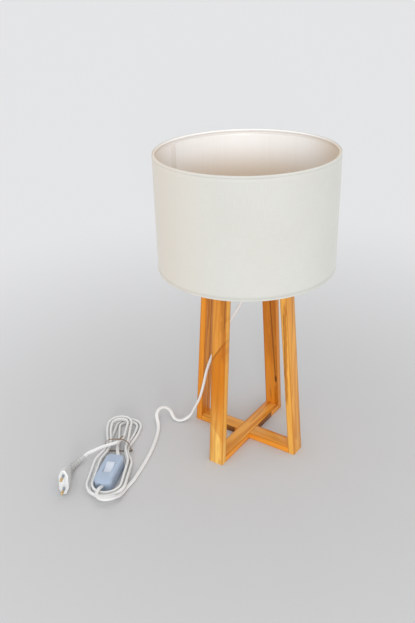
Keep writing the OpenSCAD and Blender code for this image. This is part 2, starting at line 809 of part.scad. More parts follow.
module plug_relief() {
    step = relief_turn / (relief_ribs + 0.5);
    color("white") place_plug() rotate([relief_roll, 0, 0]) translate([-plug_l, relief_bend, 0])
        rotate([0, 0, -90]) mirror([0, 1, 0]) {
            bent_rod(relief_core, 0, relief_turn);
            for (i = [0:relief_ribs - 1])
                bent_rod(relief_r[0] + (relief_r[1] - relief_r[0]) * i / relief_ribs, i * step, step / 2);
        }
}

leg(270);  // front_leg
leg(90);  // back_leg
leg(180);  // left_leg
leg(0);  // right_leg
bar(90, 0, false);  // foot_bar_front_back
bar(0, 0, true);  // foot_bar_left_right
bar(90, frame_h - board_t, false);  // top_bar_front_back
bar(0, frame_h - board_t, true);  // top_bar_left_right
corner_brads();
threaded_rod();
lower_washer();
lower_nut();
upper_washer();
cord_grip();
grip_screw();
holder_cap();
holder_insert();
holder_shell();
screw_sleeve();
centre_contact();
terminal_screws();
core_wires();
cord_in_rod();
shade_ring();
fitter_frame();
top_wire();
shade_cover();
shade_lining();
top_trim();
bottom_trim();
bulb_glass();
bulb_cap();
bulb_insulator();
bulb_tip();
cord_drop();
cord_hank();
cord_tail();
cord_tie();
switch_base();
switch_cover();
switch_rocker();
switch_pivot();
switch_contacts();
cord_clamps();
switch_screws();
plug_body();
plug_pins();
pin_sleeves();
plug_relief();
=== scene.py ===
# %% [markdown]
# # The looks of a table lamp
#
# The lamp comes in as a frame of finished parts, in metres, standing on z = 0. This lesson
# gives each part its real surface: varnished softwood, shade fabric, moulded plastic, brass
# and a soft flat cord. Hard parts keep their form and get eased edges. What is soft on the
# real lamp, which is the cord, its tie and the shade's cloth, is modelled again.

# %% Load the frame
import json
from math import cos, exp, pi, radians, sin

import bpy
from mathutils import Matrix, Vector, noise


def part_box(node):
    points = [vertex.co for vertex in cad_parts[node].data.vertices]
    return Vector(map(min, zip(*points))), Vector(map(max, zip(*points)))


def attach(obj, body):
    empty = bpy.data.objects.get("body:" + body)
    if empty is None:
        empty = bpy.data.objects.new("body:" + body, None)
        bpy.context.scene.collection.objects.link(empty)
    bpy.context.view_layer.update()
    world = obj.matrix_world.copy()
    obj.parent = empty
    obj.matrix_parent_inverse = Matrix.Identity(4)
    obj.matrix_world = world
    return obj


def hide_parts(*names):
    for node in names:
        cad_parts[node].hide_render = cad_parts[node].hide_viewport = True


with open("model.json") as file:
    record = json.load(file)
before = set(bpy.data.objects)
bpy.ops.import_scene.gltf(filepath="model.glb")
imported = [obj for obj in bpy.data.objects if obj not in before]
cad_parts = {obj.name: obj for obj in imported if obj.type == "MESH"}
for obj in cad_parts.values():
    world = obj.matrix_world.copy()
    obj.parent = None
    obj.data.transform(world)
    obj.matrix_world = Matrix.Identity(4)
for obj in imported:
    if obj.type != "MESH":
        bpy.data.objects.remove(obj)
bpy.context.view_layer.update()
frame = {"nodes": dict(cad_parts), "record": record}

bodies = frame["record"]["behaviour"]["bodies"]
body_of = {node: body for body, nodes in bodies.items() for node in nodes}
print("nodes:", len(body_of), "bodies:", len(bodies))

# %% [markdown]
# ## The camera
# The photograph was taken from the front right and from a little above the shade. A camera
# could be aimed by eye, but its place and the three turns below were fitted to the rims, the
# feet and the plug, so that the render can be laid over the photograph.

# %% Camera
CAMERA_AT = Vector((0.4864, -0.7933, 0.6898))
YAW, PITCH, ROLL = 0.612, 0.469, -0.031
FOCAL_PIXELS, PHOTO_HEIGHT, SENSOR = 710, 623, 36
ahead = Vector((-sin(YAW) * cos(PITCH), cos(YAW) * cos(PITCH), -sin(PITCH)))
level = Vector((cos(YAW), sin(YAW), 0))
lift = level.cross(ahead)
right = cos(ROLL) * level + sin(ROLL) * lift
above = cos(ROLL) * lift - sin(ROLL) * level
camera = bpy.data.objects.new("camera", bpy.data.cameras.new("camera"))
bpy.context.scene.collection.objects.link(camera)
camera.matrix_world = Matrix.Translation(CAMERA_AT) @ Matrix(
    (right, above, -ahead)).transposed().to_4x4()
camera.data.lens = SENSOR * FOCAL_PIXELS / PHOTO_HEIGHT
bpy.context.scene.camera = camera
print("lens: %.2f mm" % camera.data.lens)

# %% [markdown]
# ## The cord's route
# The lamp has one flat cord in two lengths. The first comes down out of the grip under the
# frames, lands in front of the left leg, bends over a hump and runs along the floor to an
# in-line switch. The second leaves the switch, is laid up in a hank and ends in the plug. A
# simulated cord would never lie as this one does, so each route is a spline through a few
# points (x, y, height, roll); a roll of 90 stands the flat cord on edge.

# %% A spline through route points
def smooth(points, parts):
    """Every stretch between two points is cut into the same number of parts."""
    points = [Vector(p) for p in points]
    line = [2 * points[0] - points[1], *points, 2 * points[-1] - points[-2]]
    curve = []
    for a, b, c, d in zip(line, line[1:], line[2:], line[3:]):
        for k in range(parts):
            t = k / parts
            curve.append(0.5 * (2 * b + (c - a) * t + (2 * a - 5 * b + 4 * c - d) * t ** 2
                                + (3 * b - a - 3 * c + d) * t ** 3))
    return curve + [points[-1]]

# %% Places on the switch
SWITCH_AT, SWITCH_TURN = Vector((-0.113, -0.203)), radians(-69)
SWITCH_END, SWITCH_MID = 0.0292, 0.01


def on_switch(along, height):
    """A route point at a height over the switch's long axis."""
    return (SWITCH_AT.x + along * cos(SWITCH_TURN), SWITCH_AT.y + along * sin(SWITCH_TURN),
            height, 0)

# %% The first length of cord: down from the rod, along the floor and into the switch
GRIP_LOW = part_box("cord_grip")[0].z
ROD_LOW, ROD_TOP = (corner.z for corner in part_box("threaded_rod"))
HANG = [  # x, y and the height as a share of the grip's lower end
    (0, 0, 1), (0, 0, 0.98), (0, 0, 0.96), (-0.003, -0.0015, 0.91), (-0.01, -0.004, 0.845),
    (-0.022, -0.008, 0.755), (-0.038, -0.012, 0.64), (-0.052, -0.015, 0.515),
    (-0.063, -0.017, 0.395), (-0.07, -0.018, 0.285), (-0.078, -0.019, 0.18),
    (-0.088, -0.02, 0.1)]
FLOOR = [
    (-0.096, -0.023, 0.0105, 0), (-0.106, -0.033, 0.003, 0), (-0.118, -0.036, 0.004, 0),
    (-0.13, -0.032, 0.0135, 0), (-0.138, -0.0355, 0.0185, 0), (-0.1425, -0.044, 0.0185, 0),
    (-0.141, -0.054, 0.0135, 0), (-0.131, -0.0635, 0.005, 0), (-0.1215, -0.0765, 0.002, 0),
    (-0.111, -0.096, 0.0019, 0), (-0.101, -0.118, 0.0019, 0), (-0.092, -0.143, 0.0019, 0),
    (-0.0845, -0.168, 0.002, 0), (-0.0785, -0.19, 0.0025, 0), (-0.0755, -0.21, 0.0032, 0),
    (-0.072, -0.224, 0.005, 0), (-0.0695, -0.233, 0.0085, 0), (-0.0695, -0.2435, 0.013, 0),
    (-0.073, -0.2515, 0.0145, 0), (-0.0795, -0.256, 0.0148, 0), (-0.0875, -0.256, 0.0148, 0),
    (-0.094, -0.2515, 0.0148, 0), (-0.0985, -0.242, 0.0142, 0),
    on_switch(SWITCH_END + 0.004, SWITCH_MID + 0.0009), on_switch(SWITCH_END, SWITCH_MID)]
drop_line = smooth([(0, 0, ROD_TOP, 0), (0, 0, (ROD_TOP + GRIP_LOW) / 2, 0)]
                   + [(x, y, share * GRIP_LOW, 0) for x, y, share in HANG] + FLOOR, 8)
print("points from the rod to the switch:", len(drop_line))

# %% [markdown]
# The hank is drawn in its own frame: u runs along it and v across it, and t counts its turns.
# It goes lobe, run, lobe, run, wider on each of the lower turns and narrower again on top of
# them, and a tie draws its two runs together at the waist. Behind the tie the lower lobes lie a
# little to one side and the upper ones to the other, so that they cross as loose loops do.

# %% The hank's frame and its turns
HANK_AT, HANK_TURN = Vector((-0.144, -0.15)), radians(-60)
RUN_BACK, RUN_FRONT, BACK_SHARE = 0.06, 0.084, 0.75
LOBE, LOBE_STEP, WAIST, WAIST_FRONT = 0.018, 0.008, 0.4, 0.036
TURNS, TURN_BACK, LAYERS = 3.25, 1.25, (0.0029, 0.0094)
CLIMB_AFTER, CLIMB_TURNS = 0.12, 0.13
WAIST_LIFT, WAIST_REACH = 0.0011, 0.012
SPREAD, CROSS_AFTER, CROSS_TURNS = 0.006, 0.1, 0.5


def clamped(share):
    return min(1, max(0, share))


def on_hank(u, v, height, roll):
    """A route point from a place in the hank's own frame."""
    return (HANK_AT.x + u * cos(HANK_TURN) - v * sin(HANK_TURN),
            HANK_AT.y + u * sin(HANK_TURN) + v * cos(HANK_TURN), height, roll)


def hank_half(t):
    """Half a loop's width, which grows up to the turning back and then shrinks."""
    return LOBE + LOBE_STEP * (min(t, TURN_BACK) - max(0, t - TURN_BACK - 0.5))


def hank_height(t, u):
    layer = clamped((t - TURN_BACK - CLIMB_AFTER) / CLIMB_TURNS)
    waist = WAIST_LIFT * exp(-(u / WAIST_REACH) ** 2)
    return LAYERS[0] + (LAYERS[1] - LAYERS[0]) * layer + waist


def drawn_in(u):
    """The share of a loop's width that the tie leaves at a place along the hank."""
    reach = RUN_BACK if u < 0 else WAIST_FRONT
    share = 1 - (WAIST * cos(pi / 2 * u / reach) ** 2 if abs(u) < reach else 0)
    return share * (1 - (1 - BACK_SHARE) * sin(pi / 2 * u / RUN_BACK) ** 2 if u < 0 else 1)


def hank_spread(t, u):
    """How far the lobes behind the tie lie to one side, and later to the other."""
    side = 1 - 2 * clamped((t - TURN_BACK - CROSS_AFTER) / CROSS_TURNS)
    return SPREAD * side * sin(pi / 2 * clamped(-u / RUN_BACK)) ** 2


def hank_point(t):
    """The cord's place after t turns: lobe, run, lobe and run are a quarter of a turn each."""
    half, quarter = hank_half(t), int(4 * (t % 1))
    r = 4 * (t % 1) - quarter
    if quarter == 0:
        u, v = -RUN_BACK - BACK_SHARE * half * sin(pi * r), -BACK_SHARE * half * cos(pi * r)
    elif quarter == 1:
        u = -RUN_BACK + (RUN_BACK + RUN_FRONT) * r
        v = half * drawn_in(u)
    elif quarter == 2:
        u, v = RUN_FRONT + half * sin(pi * r), half * cos(pi * r)
    else:
        u = RUN_FRONT - (RUN_BACK + RUN_FRONT) * r
        v = -half * drawn_in(u)
    return on_hank(u, v + hank_spread(t, u), hank_height(t, u), 90)

# %% Places on the plug, which rests on its tapered edge with its pins up
PLUG_TILT, PLUG_TURN = radians(18), radians(-54)
PLUG_NOSE, PLUG_HALF_FACE = 0.012, 0.01765
PLUG_AT = Vector((-0.145, -0.264,
                  PLUG_NOSE * sin(PLUG_TILT) + PLUG_HALF_FACE * cos(PLUG_TILT)))
PLUG_LENGTH, RELIEF_BEND, RELIEF_TURN, RELIEF_ROLL = 0.036, 0.04, radians(64), radians(31)


def on_plug(x, y, z):
    """A route point from a place in the plug's own frame, x out of its face."""
    out = x * cos(PLUG_TILT) - z * sin(PLUG_TILT)
    return (PLUG_AT.x + out * cos(PLUG_TURN) - y * sin(PLUG_TURN),
            PLUG_AT.y + out * sin(PLUG_TURN) + y * cos(PLUG_TURN),
            PLUG_AT.z + x * sin(PLUG_TILT) + z * cos(PLUG_TILT), 90)


def on_relief(out):
    """A route point that lies a little out of the strain relief's end."""
    side = RELIEF_BEND * (1 - cos(RELIEF_TURN)) + out * sin(RELIEF_TURN)
    return on_plug(-PLUG_LENGTH - RELIEF_BEND * sin(RELIEF_TURN) - out * cos(RELIEF_TURN),
                   side * cos(RELIEF_ROLL), side * sin(RELIEF_ROLL))

# %% The second length of cord: out of the switch, round the hank and into the plug
TURN_STEPS = 96
LEAD = [
    on_switch(-SWITCH_END, SWITCH_MID), on_switch(-SWITCH_END - 0.004, SWITCH_MID),
    on_switch(-SWITCH_END - 0.008, SWITCH_MID), on_hank(0.008, 0.002, 0.0088, 25),
    on_hank(-0.006, 0, 0.0068, 50), on_hank(-0.022, hank_spread(0, -0.022) - 0.003, 0.0046, 80),
    on_hank(-0.04, hank_spread(0, -0.04) - 0.009, 0.0032, 90),
    on_hank(-RUN_BACK, hank_spread(0, -RUN_BACK) - BACK_SHARE * LOBE, LAYERS[0], 90)]
TAIL_START = [(-RUN_BACK, BACK_SHARE * hank_half(TURNS), LAYERS[1]), (-0.045, 0.0115, 0.0102),
              (-0.028, 0.01, 0.013), (-0.012, 0.007, 0.0168)]
TAIL = [on_hank(u, v + hank_spread(TURNS, u), z, 90) for u, v, z in TAIL_START] + [
    on_hank(0, 0.001, 0.0186, 90),
    on_hank(0.007, -0.009, 0.0188, 90), on_hank(0.012, -0.021, 0.0176, 90),
    on_hank(0.018, -0.033, 0.0148, 90), on_relief(0.008), on_relief(0.004), on_relief(0)]
loops = [Vector(hank_point(i / TURN_STEPS)) for i in range(int(TURNS * TURN_STEPS))]
hank_line = smooth(LEAD, 6)[:-1] + loops + smooth(TAIL, 6)
print("points from the switch to the plug:", len(hank_line))

# %% [markdown]
# ## Sweeping a flat section
# The cord is two cores side by side in one sheath, so its section is a flat oval with a shallow
# dip between the cores. A bevelled curve would not turn the flat side as a real cord does. So
# a ring of the section is set square to the route at every point, rolled as the route says, and
# neighbouring rings are joined. The tie's paper ribbon is swept in the same way.

# %% Helpers that make a mesh from rings
def keep(name, vertices, faces, corners):
    """A new object with one UV pair for every corner of every face."""
    mesh = bpy.data.meshes.new(name)
    mesh.from_pydata([tuple(v) for v in vertices], [], faces)
    uv = mesh.uv_layers.new(name="metres")
    uv.data.foreach_set("uv", [x for pair in corners for x in pair])
    mesh.polygons.foreach_set("use_smooth", [True] * len(faces))
    mesh.update()
    piece = bpy.data.objects.new(name, mesh)
    bpy.context.scene.collection.objects.link(piece)
    return piece


def select_only(piece):
    bpy.ops.object.select_all(action="DESELECT")
    piece.select_set(True)
    bpy.context.view_layer.objects.active = piece


def face_out(piece):
    select_only(piece)
    bpy.ops.object.mode_set(mode="EDIT")
    bpy.ops.mesh.select_all(action="SELECT")
    bpy.ops.mesh.normals_make_consistent(inside=False)
    bpy.ops.object.mode_set(mode="OBJECT")


def sweep(name, rings, closed=False):
    """Joins rings of points into a skin; the UV map holds metres round and metres along."""
    n, m = len(rings[0]), len(rings)
    round_it = [0.0]
    for k in range(n):
        round_it.append(round_it[-1] + (rings[0][(k + 1) % n] - rings[0][k]).length)
    along = [0.0]
    for i in range(m):
        along.append(along[-1] + (rings[(i + 1) % m][0] - rings[i][0]).length)
    faces, corners = [], []
    for i in range(m if closed else m - 1):
        j = (i + 1) % m
        for k in range(n):
            q = (k + 1) % n
            faces.append((i * n + k, i * n + q, j * n + q, j * n + k))
            corners += [(round_it[k], along[i]), (round_it[k + 1], along[i]),
                        (round_it[k + 1], along[i + 1]), (round_it[k], along[i + 1])]
    if not closed:
        faces += [tuple(range(n))[::-1], tuple(range((m - 1) * n, m * n))]
        corners += [(0, 0)] * (2 * n)
    piece = keep(name, [p for ring in rings for p in ring], faces, corners)
    face_out(piece)
    print(name, "has", len(faces), "faces")
    return piece

# %% The cord's section and its two pieces
CORD_WIDTH, CORD_THICK, DIP = 0.0056, 0.0036, 0.00012
HALF_ROUND_STEPS = 8
UP, NUDGE = Vector((0, 0, 1)), Vector((0, -0.05, 0))


def cord_section():
    """Two half rounds with a dip between them on both flat sides."""
    half, round_r = (CORD_WIDTH - CORD_THICK) / 2, CORD_THICK / 2
    section = []
    for side in (1, -1):
        for k in range(HALF_ROUND_STEPS + 1):
            a = radians(-90 + 180 / HALF_ROUND_STEPS * k)
            section.append((side * (half + round_r * cos(a)), side * round_r * sin(a)))
        section.append((0, side * (round_r - DIP)))
    return section


def cord_rings(line, section):
    """One ring for each route point; the nudge gives a hanging cord a side to face."""
    centres = [Vector(p[:3]) for p in line]
    rings = []
    for i, centre in enumerate(centres):
        heading = (centres[min(i + 1, len(line) - 1)] - centres[max(i - 1, 0)]).normalized()
        flat = UP.cross(heading) + NUDGE
        flat = (flat - flat.dot(heading) * heading).normalized()
        roll = radians(line[i][3])
        wide = cos(roll) * flat + sin(roll) * heading.cross(flat)
        thin = heading.cross(wide)
        rings.append([centre + a * wide + b * thin for a, b in section])
    return rings


first_cord = sweep("cord_to_switch", cord_rings(drop_line, cord_section()))
second_cord = sweep("cord_to_plug", cord_rings(hank_line, cord_section()))


def length_of(line):
    return sum((Vector(b[:3]) - Vector(a[:3])).length for a, b in zip(line, line[1:]))


print("cord: %.3f m and %.3f m" % (length_of(drop_line), length_of(hank_line)))

# %% [markdown]
# ## Shader maths as plain expressions
# A pattern is a sum and product of simple fields, so it reads best as an expression. The class
# below stands for the output socket of a node: adding, scaling or comparing such outputs adds a
# Math node for each operation. A finish is one material, and one method adds any other node.

# %% An output that can be added, scaled and raised
class Field:
    def __init__(self, finish, socket):
        self.finish, self.socket = finish, socket

    def maths(self, operation, *values):
        return self.finish.node("ShaderNodeMath", {"operation": operation}, *values)

    def __add__(self, other):
        return self.maths("ADD", self, other)

    def __mul__(self, other):
        return self.maths("MULTIPLY", self, other)

    def __sub__(self, other):
        return self.maths("SUBTRACT", self, other)

    def __rsub__(self, other):
        return self.maths("SUBTRACT", other, self)

    def __pow__(self, power):
        return self.maths("POWER", self, power)

    __radd__, __rmul__ = __add__, __mul__

# %% A finish: one material, built by adding nodes
class Finish:
    def __init__(self, name, colour, roughness, **constants):
        self.material = bpy.data.materials.new(name)
        self.material.use_nodes = True
        self.tree = self.material.node_tree
        self.tree.nodes.clear()
        self.surface = self.tree.nodes.new("ShaderNodeBsdfPrincipled")
        out = self.tree.nodes.new("ShaderNodeOutputMaterial")
        self.tree.links.new(self.surface.outputs[0], out.inputs[0])
        self.set(Base_Color=colour, Roughness=roughness, **constants)

    def plug(self, socket, value):
        if isinstance(value, Field):
            self.tree.links.new(value.socket, socket)
        elif hasattr(value, "__len__") and len(value) == 3 and socket.type == "RGBA":
            socket.default_value = (*value, 1)
        else:
            socket.default_value = value

    def node(self, kind, settings, *values, out=0, **named):
        made = self.tree.nodes.new(kind)
        for key, value in settings.items():
            setattr(made, key, value)
        for socket, value in zip(made.inputs, values):
            self.plug(socket, value)
        for key, value in named.items():
            self.plug(made.inputs[key.replace("_", " ")], value)
        return Field(self, made.outputs[out])

    def set(self, **values):
        for key, value in values.items():
            self.plug(self.surface.inputs[key.replace("_", " ")], value)
        return self

    def place(self):
        """Metres in the object's own frame."""
        return self.node("ShaderNodeTexCoord", {}, out="Object")

    def cloth(self):
        """Metres over the flat cloth or round and along a cord."""
        return self.node("ShaderNodeUVMap", {"uv_map": "metres"})

    def read(self, name):
        return self.node("ShaderNodeAttribute", {"attribute_name": name}, out="Vector")

    def split(self, vector):
        made = self.node("ShaderNodeSeparateXYZ", {}, vector).socket.node
        return [Field(self, socket) for socket in made.outputs]

    def stretch(self, vector, scale):
        return self.node("ShaderNodeVectorMath", {"operation": "MULTIPLY"}, vector, scale)

    def noise(self, vector, scale, detail=2.0):
        """Cloudy noise from 0 to 1, with its own scale for x, y and z."""
        return self.node("ShaderNodeTexNoise", {}, Vector=self.stretch(vector, scale),
                         Scale=1.0, Detail=detail)

    def rise(self, value, low, high):
        """0 below low, 1 above high and a smooth step between them."""
        return self.node("ShaderNodeMapRange", {"interpolation_type": "SMOOTHSTEP"}, value,
                         low, high)

    def mix(self, share, a, b):
        """A Mix node for colours: its colour sockets are inputs 6 and 7 and output 2."""
        made = self.tree.nodes.new("ShaderNodeMix")
        made.data_type = "RGBA"
        for index, value in ((0, share), (6, a), (7, b)):
            self.plug(made.inputs[index], value)
        return Field(self, made.outputs[2])

    def bump(self, height, depth, strength=1.0):
        self.set(Normal=self.node("ShaderNodeBump", {}, Strength=strength, Distance=depth,
                                  Height=height))
        return self

# %% [markdown]
# ## Handling pieces
# Operators act on what is selected, so a helper selects one piece alone. A CAD part's mesh is
# loose triangles; a copy of it is merged, its flat faces are joined again, and its edges are
# eased with a bevel, because no real board or moulding has a razor edge.

# %% Modify and seat a piece
def modify(piece, kind, **settings):
    """Adds a modifier and applies it at once."""
    select_only(piece)
    modifier = piece.modifiers.new(kind.lower(), kind)
    for key, value in settings.items():
        setattr(modifier, key, value)
    bpy.ops.object.modifier_apply(modifier=modifier.name)


def seat(piece, finish, slot, *nodes, body=None):
    """Gives a piece its finish, the nodes that it stands for and its body; slot is not used."""
    piece.data.materials.clear()
    piece.data.materials.append(finish.material)
    if nodes:
        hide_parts(*nodes)
    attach(piece, body or body_of[nodes[0]])
    return piece

# %% A merged copy of a node, with eased edges
MERGE_WITHIN, FLAT_WITHIN, SMOOTH_UNDER = 0.00001, radians(0.5), radians(40)


def eased(node, width, name=None, segments=2, angle=35):
    piece = bpy.data.objects.new(name or node + "_eased", frame["nodes"][node].data.copy())
    bpy.context.scene.collection.objects.link(piece)
    select_only(piece)
    bpy.ops.object.mode_set(mode="EDIT")
    bpy.ops.mesh.select_all(action="SELECT")
    bpy.ops.mesh.customdata_custom_splitnormals_clear()
    bpy.ops.mesh.remove_doubles(threshold=MERGE_WITHIN)
    bpy.ops.mesh.dissolve_limited(angle_limit=FLAT_WITHIN)
    bpy.ops.object.mode_set(mode="OBJECT")
    if width:
        modify(piece, "BEVEL", width=width, segments=segments, limit_method="ANGLE",
               angle_limit=radians(angle))
    select_only(piece)
    bpy.ops.object.shade_smooth_by_angle(angle=SMOOTH_UNDER)
    return piece


def dress(node, width, finish, slot, **bevel):
    """An eased copy that stands for its node, in its finish."""
    return seat(eased(node, width, **bevel), finish, slot, node)

# %% [markdown]
# ## The wooden frames
# The boards are honey-coloured softwood under a clear satin varnish. Stretched noise alone
# would give stripes that look the same on every face. Sawn wood shows slices of the tree's
# rings, so the finish works out how far each point is from the heart of the tree: the heart
# runs beside the board, a little out of line with it, and that slant is what draws long pointed
# arches on a broad face and plain stripes on an edge.

# %% Write each board's own measures into its mesh
FRAME_H, FOOT_HALF, TOP_HALF = 0.295, 0.091, 0.068
LEAN = (FOOT_HALF - TOP_HALF) / FRAME_H
BOARD_HALF, BOARD_T = 0.0115, 0.01
BOARDS = {  # node: (turn, is a leg)
    "front_leg": (270, True), "back_leg": (90, True), "left_leg": (180, True),
    "right_leg": (0, True), "foot_bar_front_back": (90, False),
    "foot_bar_left_right": (0, False), "top_bar_front_back": (90, False),
    "top_bar_left_right": (0, False)}


def measure_board(piece, turn, is_leg):
    """Stores (through, across, along) at every vertex, in metres.

    Through and across are from the board's middle, along is a leg's height or a bar's x.
    """
    back = Matrix.Rotation(radians(-turn), 3, "Z")
    low = min(vertex.co.z for vertex in piece.data.vertices)
    values = []
    for vertex in piece.data.vertices:
        x, y, z = back @ vertex.co
        outer, along = (x - FOOT_HALF + LEAN * z + BOARD_T, z) if is_leg else (z - low, x)
        values += [outer - BOARD_T / 2, y, along]
    piece.data.attributes.new("board", "FLOAT_VECTOR", "POINT").data.foreach_set("vector", values)

# %% The wood's finish
SAPWOOD, HEARTWOOD, LATE, RESIN = ((0.88, 0.42, 0.075), (0.66, 0.205, 0.001),
                                   (0.42, 0.115, 0.001), (0.13, 0.035, 0.001))
# A brighter colour painted near the front leg's foot, as painted light.
PAINTED_LIGHT_FOOT = (0.99, 0.59, 0.14)
RING, WANDER = 0.0062, 0.016
WANDER_SCALE, FIBRE_SCALE, PATCH_SCALE = (60, 60, 7), (1400, 1400, 26), (90, 90, 9)
PAINTED_LIGHT_BELOW = (0.06, 0.12)
SHOULDER_SLOPE, SHOULDER_AT = 1.2, (0.05, 0.056)


def between(finish, value, low, high, soft):
    """1 from low to high and 0 elsewhere, with soft ends."""
    return finish.rise(value, low, low + soft) * (1 - finish.rise(value, high - soft, high))


def streak(finish, off_axis, along, line):
    """A dark line from one place on the board to a higher one, each (off the axis, along)."""
    (a0, z0), (a1, z1), width, _ = line
    wobble = finish.noise(finish.read("board"), (0, 0, 60), 1) * (1.5 * width) - 0.75 * width
    off = off_axis - (along - z0) * ((a1 - a0) / (z1 - z0)) - a0 + wobble
    return (1 - finish.rise((off * off) ** 0.5, width * 0.25, width)) * between(
        finish, along, z0, z1, 0.02)


def wood(name, heart_at, slant, heart_radius, thin_face, grain, deep=0, figure=None, knot=None,
         streaks=(), edge_streaks=(), dark_beside_crossing=None):
    """A board's finish.

    heart_at and slant place the heart of the tree beside the board, heart_radius is how far its
    dark wood reaches, and deep is the least share of dark wood. grain is how much the rings
    show. figure is the slanting edge of dark wood on a broad face: slope, curve and height;
    below that edge the board is painted paler towards its foot, as painted light.
    """
    finish = Finish(name, SAPWOOD, 0.42, Coat_Weight=0.15, Coat_Roughness=0.25,
                    Specular_IOR_Level=0.3)
    board = finish.read("board")
    through, across, along = finish.split(board)
    wander = finish.noise(board, WANDER_SCALE, 3) * WANDER - WANDER / 2
    out = through - along * slant[0] - heart_at[0]
    side = across - along * slant[1] - heart_at[1]
    if knot:
        near = ((across - knot[0]) ** 2 + ((along - knot[1]) * 0.3) ** 2) ** 0.5
        out = out + (1 - finish.rise(near, 0.001, 0.007)) * 0.004
    radius = (out * out + side * side) ** 0.5 + wander
    ring = finish.node("ShaderNodeMath", {"operation": "FRACT"}, radius * (1 / RING))
    late = finish.rise(ring, 0.15, 0.88) ** 1.6 * (1 - finish.rise(ring, 0.92, 1.0))
    fibre = finish.noise(board, FIBRE_SCALE, 3)
    patch = finish.noise(board, PATCH_SCALE, 2)
    if figure:
        slope, curve, height = figure
        edge = along - across * slope - across * across * curve - height
        above = finish.rise(edge, -0.001, 0.001)
        shoulder = finish.rise(along + across * SHOULDER_SLOPE, *SHOULDER_AT)
        lower = shoulder * (finish.rise(along, 0.05, 0.14) * 0.5 + 0.5)
        heart = above * 0.45 + (1 - above) * lower
        # Painted light: below the figure the board is mixed towards a brighter colour near its
        # foot.
        pale = finish.mix(1 - finish.rise(along, *PAINTED_LIGHT_BELOW), SAPWOOD, PAINTED_LIGHT_FOOT)
    else:
        heart = 1 - finish.rise(radius, heart_radius - 0.0012, heart_radius + 0.0006)
        pale = SAPWOOD
    colour = finish.mix(heart * (1 - deep) + deep, pale, HEARTWOOD)
    colour = finish.mix(late * (0.2 + patch) * grain, colour, LATE)
    colour = finish.mix(finish.rise(fibre, 0.45, 0.8) * 0.25, colour, LATE)
    colour = finish.mix(finish.rise(patch, 0.42, 0.75) * 0.6, colour, HEARTWOOD)
    if figure:
        line = finish.rise(edge, -0.007, -0.001) * (1 - finish.rise(edge, -0.0005, 0.0005))
        colour = finish.mix(line * 0.5, colour, RESIN)
    off_middle, off_core = (across * across) ** 0.5, (through * through) ** 0.5
    on_edge = finish.rise(off_middle, BOARD_HALF - 0.0005, BOARD_HALF - 0.0002)
    beside_edge = between(finish, off_middle, BOARD_HALF - 0.0016, BOARD_HALF, 0.0004)
    colour = finish.mix(beside_edge * 0.5, colour, LATE)
    # The narrow faces get a colour of their own, partly their grain's own tone and partly painted
    # light.
    colour = finish.mix(on_edge * 0.6, colour, thin_face)
    rim = finish.rise(off_core, BOARD_T / 2 - 0.0014, BOARD_T / 2 - 0.0006)
    colour = finish.mix(on_edge * rim * 0.5, colour, LATE)
    for line in streaks:
        colour = finish.mix(streak(finish, across, along, line) * 0.65, colour, line[3])
    for line in edge_streaks:
        colour = finish.mix(streak(finish, through, along, line) * on_edge * 0.7, colour, line[3])
    # Darkens one narrow face of a foot bar over a span of its length beside the crossing.
    if dark_beside_crossing:
        dark = (1 - finish.rise(across, -BOARD_HALF, 0.0004 - BOARD_HALF)) * between(
            finish, along, *dark_beside_crossing, 0.004)
        colour = finish.mix(dark * 0.85, colour, RESIN)
    if knot:
        colour = finish.mix((1 - finish.rise(near, 0.0012, 0.0028)) * 0.9, colour, RESIN)
    finish.set(Base_Color=colour, Roughness=0.36 + 0.14 * fibre)
    return finish.bump(late * 0.4 + fibre, 0.00012, 0.5)


# The narrow faces' colours, partly painted light: SUNNY the brighter one, AMBER the darker.
SUNNY, AMBER = (0.95, 0.50, 0.09), (0.86, 0.29, 0.008)
WOODS = {
    "front_leg": wood("wood_front_leg", (-0.03, 0.02), (0.02, 0.05), 0.012, SUNNY, 0.5,
                      figure=(1.55, -10.0, 0.190),
                      streaks=[((0.0082, 0.165), (0.0046, 0.30), 0.0055, LATE),
                               ((0.0086, 0.21), (0.0092, 0.29), 0.0014, RESIN)]),
    "back_leg": wood("wood_back_leg", (0.02, 0.006), (0.03, -0.02), 0.024, AMBER, 0.9, 0.7,
                     knot=(-0.0085, 0.0625),
                     streaks=[((-0.0085, 0.05), (0.001, 0.29), 0.0018, RESIN)]),
    "left_leg": wood("wood_left_leg", (-0.035, 0.012), (0.012, 0.035), 0.014, AMBER, 0.9, 0.5,
                     streaks=[((-0.004, 0.0), (-0.002, 0.29), 0.0014, RESIN)]),
    "right_leg": wood("wood_right_leg", (0.03, -0.022), (-0.015, 0.06), 0.017, SUNNY, 0.55, 0.1,
                      streaks=[((0.002, 0.2), (0.006, 0.28), 0.0012, LATE)],
                      edge_streaks=[((-0.0035, 0.08), (0.0028, 0.262), 0.0034, LATE),
                                    ((-0.0036, 0.12), (-0.0008, 0.25), 0.001, RESIN)]),
    "foot_bar_front_back": wood("wood_foot_front_back", (-0.028, 0.004), (0.03, 0.02), 0.012,
                                AMBER, 0.8, dark_beside_crossing=(0.0135, 0.06)),
    "foot_bar_left_right": wood("wood_foot_left_right", (-0.03, -0.01), (-0.02, 0.03), 0.012,
                                AMBER, 0.5, dark_beside_crossing=(-0.034, -0.0135)),
    "top_bar_front_back": wood("wood_top_front_back", (-0.03, 0.008), (0.02, 0.02), 0.012,
                               SUNNY, 0.6),
    "top_bar_left_right": wood("wood_top_left_right", (-0.026, 0.0), (0.02, -0.03), 0.012,
                               SUNNY, 0.6)}
print("wood finishes:", len(WOODS))

# %% Ease the boards' edges and give them their wood
for node, (turn, is_leg) in BOARDS.items():
    board = eased(node, 0.0007, node + "_board")
    measure_board(board, turn, is_leg)
    seat(board, WOODS[node], "wood", node)
print("boards:", len(BOARDS))

